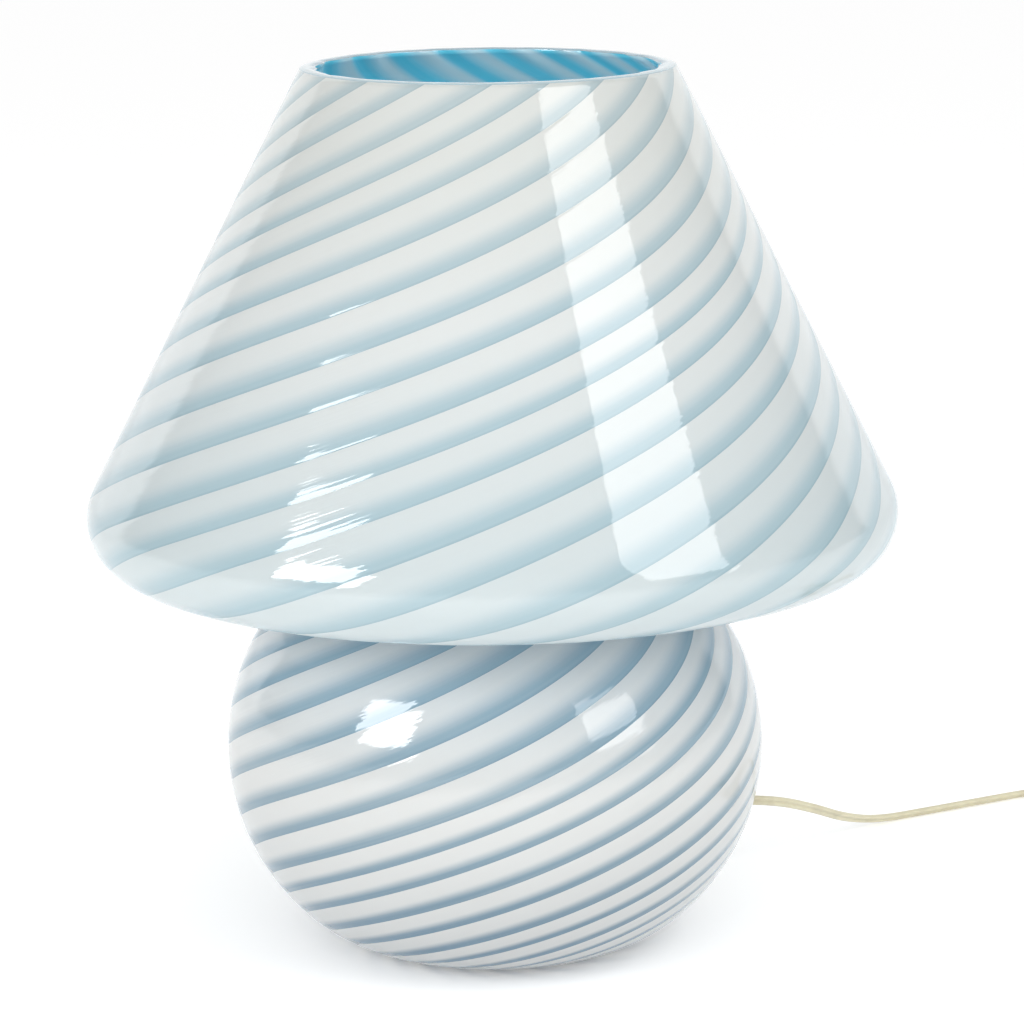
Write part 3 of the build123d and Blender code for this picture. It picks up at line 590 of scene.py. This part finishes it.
# The rings up the outside, over the lip and down the inside. Each has its side, its share of
# the way from the foot to the lip, which goes on from 1 over the lip, and its points.
def glassRings(columns):
    rows = glassRows()
    winding = windings(rows)
    last = rows[-1]
    end = last["along"]
    upright = pi / 2
    ribs = [ribDepth(phase) for phase in columns]
    widths = [lipWidth(phase) for phase in columns]
    swells = [width - (last["r"] - last["innerR"]) for width in widths]
    rings = []
    for row, turn in zip(rows, winding):
        fromFoot, fromLip = row["along"], end - row["along"]
        fade = min(fromFoot / glass["ribsFromFoot"], 1) * min(fromLip / glass["ribsFromLip"], 1)
        depths = [fade * rib for rib in ribs]
        points = glassRing(columns, row["r"], row["z"], row["heading"], turn, depths)
        rings.append(("outside", fromFoot / end, points))
    for count in range(1, glass["lipRows"]):
        share = count / glass["lipRows"]
        height = last["z"] + glass["lipCrown"] * sin(pi * share)
        depths = [share * width for width in widths]
        points = glassRing(columns, last["r"], height, upright, winding[-1], depths)
        rings.append(("lip", 1 + share, points))
    for row, turn in zip(reversed(rows), reversed(winding)):
        near = max(1 - (end - row["along"]) / glass["lipReach"], 0) ** 2
        height = row["innerZ"] + near * (last["z"] - last["innerZ"])
        depths = [near * swell for swell in swells]
        points = glassRing(columns, row["innerR"], height, upright, turn, depths)
        rings.append(("inside", row["along"] / end, points))
    return rings


def makeGlass():
    columns = [stripe + share for stripe in range(stripeCount) for share in glass["columnShares"]]
    count = len(columns)
    rings = glassRings(columns)
    slots = {"outside": 0, "inside": 1, "lip": 2}
    turns = [phase / stripeCount for phase in columns + [stripeCount]]
    faces, uvs, kinds = [], [], []
    for index, ((side, low, _), (nextSide, high, _)) in enumerate(zip(rings, rings[1:])):
        kind = slots["lip" if "lip" in (side, nextSide) else side]
        for column in range(count):
            a, b = index * count + column, index * count + (column + 1) % count
            left, right = turns[column], turns[column + 1]
            faces.append((a, b, b + count, a + count))
            uvs += [left, low, right, low, right, high, left, high]
            kinds.append(kind)
    vertices = [point for _, _, points in rings for point in points]
    piece = newObject("glass_lamp", vertices, faces, "lamp")
    piece.data.uv_layers.new(name="stripes").data.foreach_set("uv", uvs)
    piece.data.polygons.foreach_set("material_index", kinds)
    for material in (glassMaterial("outside"), glassMaterial("inside"), lipMaterial()):
        piece.data.materials.append(material)
    cutCordHole(piece)
    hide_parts("glass_base", "glass_shade")
    print("glass", len(piece.data.polygons), "faces")


# The hole in the base that the grommet sits in.
def cutCordHole(piece):
    sides, radius, reach = glass["holeSides"], glass["holeRadius"] / 1000, glass["holeReach"] / 1000
    middle = cordExit - holeAxis * (glass["holeMiddle"] / 1000)
    level = Vector((-sin(holeAzimuth), cos(holeAzimuth), 0))
    up = holeAxis.cross(level)
    angles = [2 * pi * side / sides for side in range(sides)]
    vertices = [
        middle + holeAxis * end + (level * cos(angle) + up * sin(angle)) * radius
        for end in (-reach, reach)
        for angle in angles
    ]
    faces = [tuple(range(sides))[::-1], tuple(range(sides, 2 * sides))]
    for side in range(sides):
        following = (side + 1) % sides
        faces.append((side, following, sides + following, sides + side))
    cutter = newObject("hole_cutter", vertices, faces, "lamp")
    modifier = piece.modifiers.new("cord_hole", "BOOLEAN")
    modifier.operation = "DIFFERENCE"
    modifier.object = cutter
    modifier.solver = "EXACT"
    bpy.context.view_layer.objects.active = piece
    bpy.ops.object.modifier_apply(modifier=modifier.name)
    bpy.data.objects.remove(cutter)


# The bands' looks, by the share of the way from the middle of the foot to the lip. Across a
# band, 0 is its upper edge and 1 its sharp lower one. It is white up to its start, and from
# there goes to blue, which is full at its full.
bands = {
    "outside": {
        "starts": [(0.0, 0.46), (0.13, 0.45), (0.25, 0.44), (0.33, 0.32), (0.65, 0.4), (1.0, 0.4)],
        "fulls": [(0.0, 0.78), (0.13, 0.80), (0.22, 0.88), (0.33, 0.93), (1.0, 0.93)],
        # Partly painted light: these white and blue tones by height are the glass's own colour, but
        # lightened at the top of the base, under the shade's rim, to make up for the shade that the
        # rim casts there. Both get darker towards the foot.
        "white": [
            (0.13, (205, 205, 203)),
            (0.255, (216, 215, 212)),
            (0.36, (226, 231, 233)),
            (0.40, (220, 228, 231)),
            (0.68, (200, 207, 207)),
            (0.85, (215, 215, 212)),
            (0.96, (211, 210, 205)),
        ],
        "blue": [
            (0.13, (94, 126, 147)),
            (0.255, (141, 162, 173)),
            (0.36, (155, 186, 203)),
            (0.40, (154, 187, 203)),
            (0.68, (166, 187, 193)),
            (0.85, (168, 187, 193)),
            (0.96, (175, 187, 189)),
        ],
    },
    "inside": {
        "starts": [(0.0, 0.05), (1.0, 0.05)],
        "fulls": [(0.0, 0.62), (1.0, 0.62)],
        # Painted light: the inside's white and blue are brighter than the glass's own colour,
        # standing in for light that comes in through the wall.
        "white": [(0.0, (186, 228, 242)), (1.0, (212, 242, 253))],
        "blue": [(0.0, (90, 208, 240)), (1.0, (112, 224, 252))],
    },
    "insideFade": 0.72,  # where the blue goes back to white inside
    "seamStart": 0.94,  # painted shade: the dark line in the seam's groove at the outside's sharp edge
    "seamShare": 0.22,
    "seamShadeTone": (84, 116, 136),
    "streaksAcross": 9.0,  # streaks to a band, and to the whole way up
    "streaksAlong": 14.0,
    "streakDepth": 0.34,
    "cloudScale": 9.0,  # a slow cloud that moves where the blue starts
    "cloudDepth": 0.12,
    "translucency": 0.3,
    "roughness": 0.025,
    "refraction": 1.5,
    "rippleScale": 0.6,  # of the streaks' scale
    "rippleStrength": 0.12,
    "rippleHeight": 0.0006,
    "fineAcross": 13.0,  # fine ripples to a band, and to the whole way up
    "fineAlong": 30.0,
    "fineHeight": 0.00006,
}


# How blue a band is at its share from one edge to the other.
def bandAmount(tree, side, share, height, streaks):
    coords = addNode(tree, "ShaderNodeTexCoord").outputs["Object"]
    cloud = noise(tree, coords, bands["cloudScale"], detail=3.0)
    wander = calculate(tree, "SUBTRACT", cloud, 0.5)
    wander = calculate(tree, "MULTIPLY", wander, bands["cloudDepth"])
    start = calculate(tree, "ADD", numberRamp(tree, height, bands[side]["starts"]), wander)
    full = numberRamp(tree, height, bands[side]["fulls"])
    span = {"Value": share, "From Min": start, "From Max": full}
    amount = mapRange(tree, span, interpolation_type="SMOOTHSTEP")
    if side == "inside":
        span = {"Value": share, "From Min": bands["insideFade"], "To Min": 1.0, "To Max": 0.0}
        fade = mapRange(tree, span, interpolation_type="SMOOTHSTEP")
        amount = calculate(tree, "MULTIPLY", amount, fade)
    uneven = calculate(tree, "SUBTRACT", noise(tree, streaks, scale=1.0, detail=4.0), 0.5)
    uneven = calculate(tree, "MULTIPLY", uneven, bands["streakDepth"])
    return calculate(tree, "ADD", amount, calculate(tree, "MULTIPLY", amount, uneven))


# Coordinates that follow the stripes: so many to a band, and to the whole way up.
def bandCoords(tree, phase, height, across, along):
    x = calculate(tree, "MULTIPLY", phase, across)
    y = calculate(tree, "MULTIPLY", height, along)
    return addNode(tree, "ShaderNodeCombineXYZ", {"X": x, "Y": y}).outputs["Vector"]


# The cased glass. Part of each colour is let through, so that a side in shade glows a little.
def glassMaterial(side):
    material, tree, shader = newMaterial("glass_" + side)
    uv = addNode(tree, "ShaderNodeUVMap", uv_map="stripes").outputs["UV"]
    parts = addNode(tree, "ShaderNodeSeparateXYZ", {"Vector": uv}).outputs
    phase = calculate(tree, "MULTIPLY", parts["X"], float(stripeCount))
    share = calculate(tree, "FRACT", phase)
    height = parts["Y"]
    streaks = bandCoords(tree, phase, height, bands["streaksAcross"], bands["streaksAlong"])
    white = toneRamp(tree, height, bands[side]["white"])
    blue = toneRamp(tree, height, bands[side]["blue"])
    colour = mixColours(tree, bandAmount(tree, side, share, height, streaks), white, blue)
    if side == "outside":
        # Painted shade: the seam's groove is darkened along the outside's sharp edge.
        span = {"Value": share, "From Min": bands["seamStart"], "To Max": bands["seamShare"]}
        colour = mixColours(tree, mapRange(tree, span), colour, srgb(*bands["seamShadeTone"]))
    black = (0.0, 0.0, 0.0, 1.0)
    passed = mixColours(tree, bands["translucency"], black, colour)
    kept = mixColours(tree, 1 - bands["translucency"], black, colour)
    glow = addNode(tree, "ShaderNodeBsdfTranslucent", {"Color": passed}).outputs["BSDF"]
    both = addNode(tree, "ShaderNodeAddShader", {0: shader.outputs["BSDF"], 1: glow})
    fineCoords = bandCoords(tree, phase, height, bands["fineAcross"], bands["fineAlong"])
    ripple = noise(tree, streaks, bands["rippleScale"], detail=2.0)
    fine = noise(tree, fineCoords, scale=1.0, detail=1.0)
    wide = bump(tree, ripple, bands["rippleStrength"], bands["rippleHeight"])
    normal = bump(tree, fine, strength=1.0, distance=bands["fineHeight"], under=wide)
    tree.links.new(kept, shader.inputs["Base Color"])
    tree.links.new(normal, shader.inputs["Normal"])
    shader.inputs["Roughness"].default_value = bands["roughness"]
    shader.inputs["IOR"].default_value = bands["refraction"]
    tree.links.new(both.outputs["Shader"], tree.nodes["Material Output"].inputs["Surface"])
    return material


# The clear lip, by the share of the way over it from the outside.
lip = {
    "tones": [
        (0.1, (168, 188, 194)),
        (0.55, (202, 213, 215)),
        (0.78, (140, 170, 184)),
        (0.95, (76, 124, 152)),
    ],
    "grainScale": 40.0,
    "grainDepth": 0.1,
    "roughness": 0.03,
    "refraction": 1.5,
    "transmission": 0.35,
}


def lipMaterial():
    material, tree, shader = newMaterial("glass_lip")
    uv = addNode(tree, "ShaderNodeUVMap", uv_map="stripes").outputs["UV"]
    height = addNode(tree, "ShaderNodeSeparateXYZ", {"Vector": uv}).outputs["Y"]
    across = calculate(tree, "SUBTRACT", height, 1.0)
    grain = noise(tree, uv, lip["grainScale"], detail=3.0)
    grain = calculate(tree, "MULTIPLY", grain, lip["grainDepth"])
    colour = toneRamp(tree, calculate(tree, "ADD", across, grain), lip["tones"])
    tree.links.new(colour, shader.inputs["Base Color"])
    shader.inputs["Roughness"].default_value = lip["roughness"]
    shader.inputs["IOR"].default_value = lip["refraction"]
    shader.inputs["Transmission Weight"].default_value = lip["transmission"]
    return material


# The fittings' finishes, one for each slot of the record that no piece above takes.
finishes = {
    "bulb_glass": {"light": (236, 238, 238), "dark": (224, 228, 229), "roughness": 0.35, "metal": 0.0,
                   "mottleScale": 30.0, "grain": 0.06},
    "brass": {"light": (214, 180, 110), "dark": (176, 140, 78), "roughness": 0.26, "metal": 1.0,
              "mottleScale": 90.0, "grain": 0.24},
    "steel": {"light": (205, 207, 208), "dark": (160, 163, 166), "roughness": 0.3, "metal": 1.0,
              "mottleScale": 120.0, "grain": 0.24},
    "plate": {"light": (236, 236, 232), "dark": (222, 222, 218), "roughness": 0.3, "metal": 0.0,
              "mottleScale": 50.0, "grain": 0.15},
    "holder_plastic": {"light": (240, 239, 234), "dark": (228, 226, 219), "roughness": 0.38,
                       "metal": 0.0, "mottleScale": 80.0, "grain": 0.18},
    "ceramic": {"light": (238, 234, 224), "dark": (222, 216, 203), "roughness": 0.45, "metal": 0.0,
                "mottleScale": 110.0, "grain": 0.3},
    "gasket": {"light": (206, 204, 198), "dark": (182, 180, 173), "roughness": 0.7, "metal": 0.0,
               "mottleScale": 160.0, "grain": 0.6},
    "ivory_plastic": {"light": (240, 233, 214), "dark": (230, 221, 198), "roughness": 0.36,
                      "metal": 0.0, "mottleScale": 90.0, "grain": 0.18},
    "insulator": {"light": (52, 50, 56), "dark": (34, 32, 36), "roughness": 0.3, "metal": 0.0,
                  "mottleScale": 90.0, "grain": 0.15},
}
wear = {
    "darkAt": 0.35,  # where the mottle is all dark and all light
    "lightAt": 0.65,
    "smoother": 0.06,  # how far the mottle takes the roughness down and up
    "rougher": 0.1,
    "grainScale": 18,  # times finer than the mottle
    "grainHeight": 0.0001,
}


def finishMaterial(name):
    finish = finishes[name]
    roughness = finish["roughness"]
    material, tree, shader = newMaterial(name + "_finish")
    coords = addNode(tree, "ShaderNodeTexCoord").outputs["Object"]
    mottle = noise(tree, coords, finish["mottleScale"], detail=5.0)
    grain = noise(tree, coords, finish["mottleScale"] * wear["grainScale"], detail=2.0)
    tones = [(wear["darkAt"], finish["dark"]), (wear["lightAt"], finish["light"])]
    span = {
        "Value": mottle,
        "To Min": roughness - wear["smoother"],
        "To Max": roughness + wear["rougher"],
    }
    normal = bump(tree, grain, finish["grain"], wear["grainHeight"])
    tree.links.new(toneRamp(tree, mottle, tones), shader.inputs["Base Color"])
    tree.links.new(mapRange(tree, span), shader.inputs["Roughness"])
    tree.links.new(normal, shader.inputs["Normal"])
    shader.inputs["Metallic"].default_value = finish["metal"]
    return material


def dressFittings():
    made = {}
    for part in frame["record"]["subparts"]:
        node, slot = nodes[part["node"]], part["material_slot"]
        if slot in finishes and not node.hide_render:
            if slot not in made:
                made[slot] = finishMaterial(slot)
            node.data.materials.clear()
            node.data.materials.append(made[slot])
    print("fittings", len(made), "finishes")


# The studio: a white floor, white surroundings, and three softboxes. Each softbox lights the
# lamp with its fill, and shows in the glass as bright as its shine.
studio = {
    "floorReach": 30.0,
    "floorDrop": 0.0001,
    "floorWhite": 1.0,
    "floorGlow": 0.15,
    "surroundings": 0.83,  # the light all round
    "backdrop": 1.0,  # what the camera sees
    "backWidth": 53.0,  # what the glass reflects: this far to each side of the back, in degrees,
    "backSoftness": 2.0,
    "backLight": 1.15,  # it is as bright as this,
    "frontLight": 0.12,  # and everywhere else as this
    "softboxDistance": 1.7,
    "softboxAim": 0.28,  # the height that they face
    "shineAhead": 0.02,  # the shine's light is nearer, because the fill's would hide it
}
softboxes = [
    {"azimuth": 53, "elevation": 30, "width": 0.78, "height": 1.3, "fill": 3.6, "shine": 4.5},
    {"azimuth": -48, "elevation": 18.9, "width": 0.70, "height": 0.71, "fill": 5.8, "shine": 12.0},
    {"azimuth": -8, "elevation": 12, "width": 1.8, "height": 0.9, "fill": 1.6, "shine": 0.0},
]


def makeFloor():
    reach = studio["floorReach"]
    corners = [(-reach, -reach, 0), (reach, -reach, 0), (reach, reach, 0), (-reach, reach, 0)]
    mesh = bpy.data.meshes.new("floor")
    mesh.from_pydata(corners, [], [(0, 1, 2, 3)])
    ground = bpy.data.objects.new("floor", mesh)
    bpy.context.collection.objects.link(ground)
    ground.location.z = -studio["floorDrop"]
    material, tree, shader = newMaterial("floor_white")
    shader.inputs["Base Color"].default_value = (studio["floorWhite"],) * 3 + (1,)
    shader.inputs["Roughness"].default_value = 1
    shader.inputs["Specular IOR Level"].default_value = 0
    shader.inputs["Emission Color"].default_value = (1, 1, 1, 1)
    shader.inputs["Emission Strength"].default_value = studio["floorGlow"]
    mesh.materials.append(material)
    print("floor")


def makeSurroundings():
    world = bpy.data.worlds.new("studio")
    bpy.context.scene.world = world
    world.use_nodes = True
    tree = world.node_tree
    coords = addNode(tree, "ShaderNodeTexCoord").outputs["Generated"]
    parts = addNode(tree, "ShaderNodeSeparateXYZ", {"Vector": coords}).outputs
    turn = calculate(tree, "ABSOLUTE", calculate(tree, "ARCTAN2", parts["X"], parts["Y"]))
    span = {
        "Value": turn,
        "From Min": radians(studio["backWidth"] - studio["backSoftness"]),
        "From Max": radians(studio["backWidth"] + studio["backSoftness"]),
        "To Min": studio["backLight"],
        "To Max": studio["frontLight"],
    }
    rays = addNode(tree, "ShaderNodeLightPath").outputs
    reflected = mapRange(tree, span)
    strength = mixNumbers(tree, rays["Is Glossy Ray"], studio["surroundings"], reflected)
    strength = mixNumbers(tree, rays["Is Camera Ray"], strength, studio["backdrop"])
    background = tree.nodes["Background"]
    background.inputs["Color"].default_value = (1, 1, 1, 1)
    tree.links.new(strength, background.inputs["Strength"])
    print("surroundings")


def makeSoftboxes():
    target = Vector((0, 0, studio["softboxAim"]))
    for number, box in enumerate(softboxes):
        azimuth, elevation = radians(box["azimuth"]), radians(box["elevation"])
        way = Vector(
            (sin(azimuth) * cos(elevation), -cos(azimuth) * cos(elevation), sin(elevation))
        )
        for use, ahead in (("fill", 0), ("shine", studio["shineAhead"])):
            if not box[use]:
                continue
            data = bpy.data.lights.new(f"{use}_{number}", "AREA")
            data.shape = "RECTANGLE"
            data.size, data.size_y = box["width"], box["height"]
            data.energy = box[use] * pi * box["width"] * box["height"]
            light = bpy.data.objects.new(data.name, data)
            bpy.context.collection.objects.link(light)
            light.location = target + way * (studio["softboxDistance"] - ahead)
            light.rotation_mode = "QUATERNION"
            light.rotation_quaternion = way.to_track_quat("Z", "Y")
            light.visible_camera = False
            light.visible_glossy = use == "shine"
            light.visible_diffuse = use == "fill"
    print("softboxes", len(softboxes))


makeCamera()
makeCords()
makeGlass()
dressFittings()
makeFloor()
makeSurroundings()
makeSoftboxes()
bpy.context.scene.view_settings.view_transform = "Standard"

bpy.context.view_layer.update()
